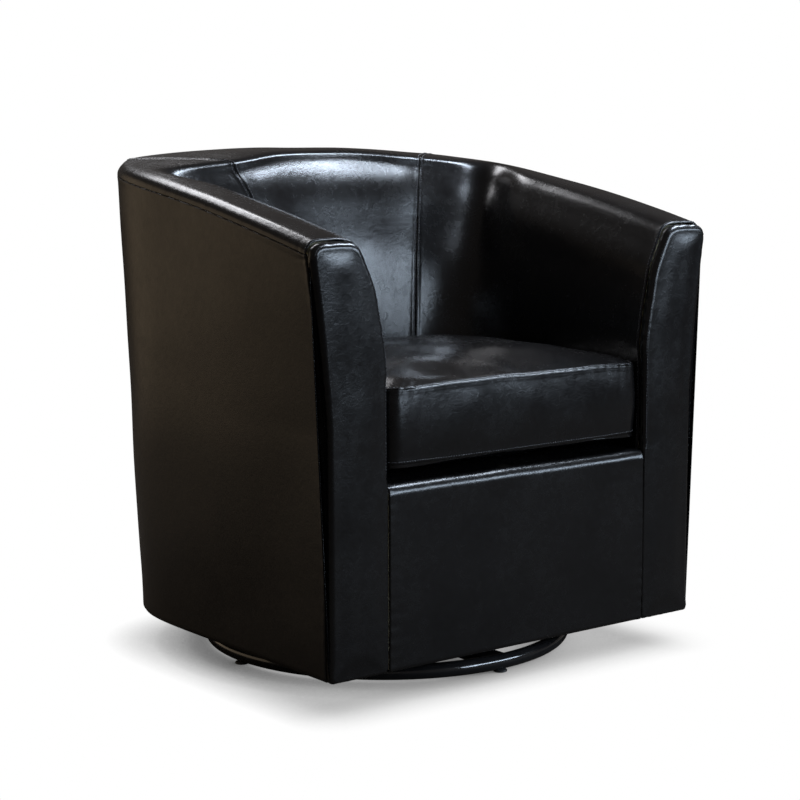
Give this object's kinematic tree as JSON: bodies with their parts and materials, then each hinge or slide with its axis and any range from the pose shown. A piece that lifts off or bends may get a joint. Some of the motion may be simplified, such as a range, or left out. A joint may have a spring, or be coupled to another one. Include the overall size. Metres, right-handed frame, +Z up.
{
  "type": "swivel club chair",
  "caption": "Low upholstered tub chair: wrap-around back and arms, loose box seat cushion and a round swivel base.",
  "frame": {"origin": "on the floor, under the middle of the chair, on the swivel's upright axis", "axes": "+Z up, -Y out of the chair's front, +X to the right as seen from the front"},
  "size_m": [0.6834, 0.595, 0.7],
  "materials": {
    "black_leather": "satin, finely grained upholstery leather",
    "foam": "matte open-cell polyurethane foam",
    "hardwood": "matte, sawn and unfinished",
    "bent_plywood": "matte moulded plywood",
    "fibreboard": "matte thin bent fibreboard",
    "black_cloth": "matte bonded cloth",
    "felt_pad": "matte pressed fibre pad",
    "gloss_black_steel": "gloss black powder coat",
    "zinc_steel": "satin zinc plate",
    "spring_steel": "satin dark drawn wire",
    "black_plastic": "matte, moulded"
  },
  "bodies": {
    "base": {"base_ring": "gloss_black_steel", "base_cross": "gloss_black_steel", "swivel_lower_plate": "zinc_steel", "floor_glide_front": "black_plastic", "floor_glide_right": "black_plastic", "floor_glide_back": "black_plastic", "floor_glide_left": "black_plastic", "base_bolt_right": "zinc_steel", "base_bolt_back": "zinc_steel", "base_bolt_left": "zinc_steel", "base_bolt_front": "zinc_steel"},
    "ball_ring": {"swivel_ball_ring": "zinc_steel"},
    "chair": {"outer_cover": "black_leather", "inside_panel_left": "black_leather", "inside_panel_right": "black_leather", "inside_panel_back": "black_leather", "arm_facing_left": "black_leather", "arm_facing_right": "black_leather", "front_rail_cover": "black_leather", "foam_arm_left": "foam", "foam_arm_right": "foam", "foam_back": "foam", "front_rail_pad": "foam", "arm_top_rail_left": "hardwood", "arm_top_rail_right": "hardwood", "bottom_rail_left": "hardwood", "bottom_rail_right": "hardwood", "bottom_rail_front": "hardwood", "arm_post_left": "hardwood", "arm_post_right": "hardwood", "side_post_left": "hardwood", "side_post_right": "hardwood", "back_post_left": "hardwood", "back_post_middle": "hardwood", "back_post_right": "hardwood", "seat_rail_front": "hardwood", "seat_rail_back": "hardwood", "seat_rail_left": "hardwood", "seat_rail_right": "hardwood", "corner_block_left": "hardwood", "corner_block_right": "hardwood", "swivel_cross_rail_front": "hardwood", "swivel_cross_rail_back": "hardwood", "back_top_rail": "bent_plywood", "bottom_rail_back": "bent_plywood", "outer_backing_board": "fibreboard", "seat_deck_cloth": "black_cloth", "dust_cover": "black_cloth", "seat_deck_pad": "felt_pad", "swivel_upper_plate": "zinc_steel", "swivel_screw_front_left": "zinc_steel", "swivel_screw_back_left": "zinc_steel", "swivel_screw_front_right": "zinc_steel", "swivel_screw_back_right": "zinc_steel", "spring_clip_strip_front": "zinc_steel", "spring_clip_strip_back": "zinc_steel", "seat_springs": "spring_steel"},
    "seat_cushion": {"seat_cushion_cover": "black_leather", "seat_cushion_foam": "foam", "seat_cushion_zip": "black_plastic"}
  },
  "joints": [
    {"name": "swivel", "type": "hinge", "parent": "base", "child": "chair", "pos_m": [0, 0, 0.045], "axis": [0, 0, 1], "continuous": true},
    {"name": "ball_ring_turn", "type": "hinge", "parent": "base", "child": "ball_ring", "pos_m": [0, 0, 0.03375], "axis": [0, 0, 1], "continuous": true},
    {"name": "cushion_lift", "type": "slide", "parent": "chair", "child": "seat_cushion", "axis": [0, 0, 1], "range_m": [0, 0.25]}
  ],
  "couplings": [
    {"joint": "ball_ring_turn", "follows": "swivel", "ratio": 0.5}
  ]
}
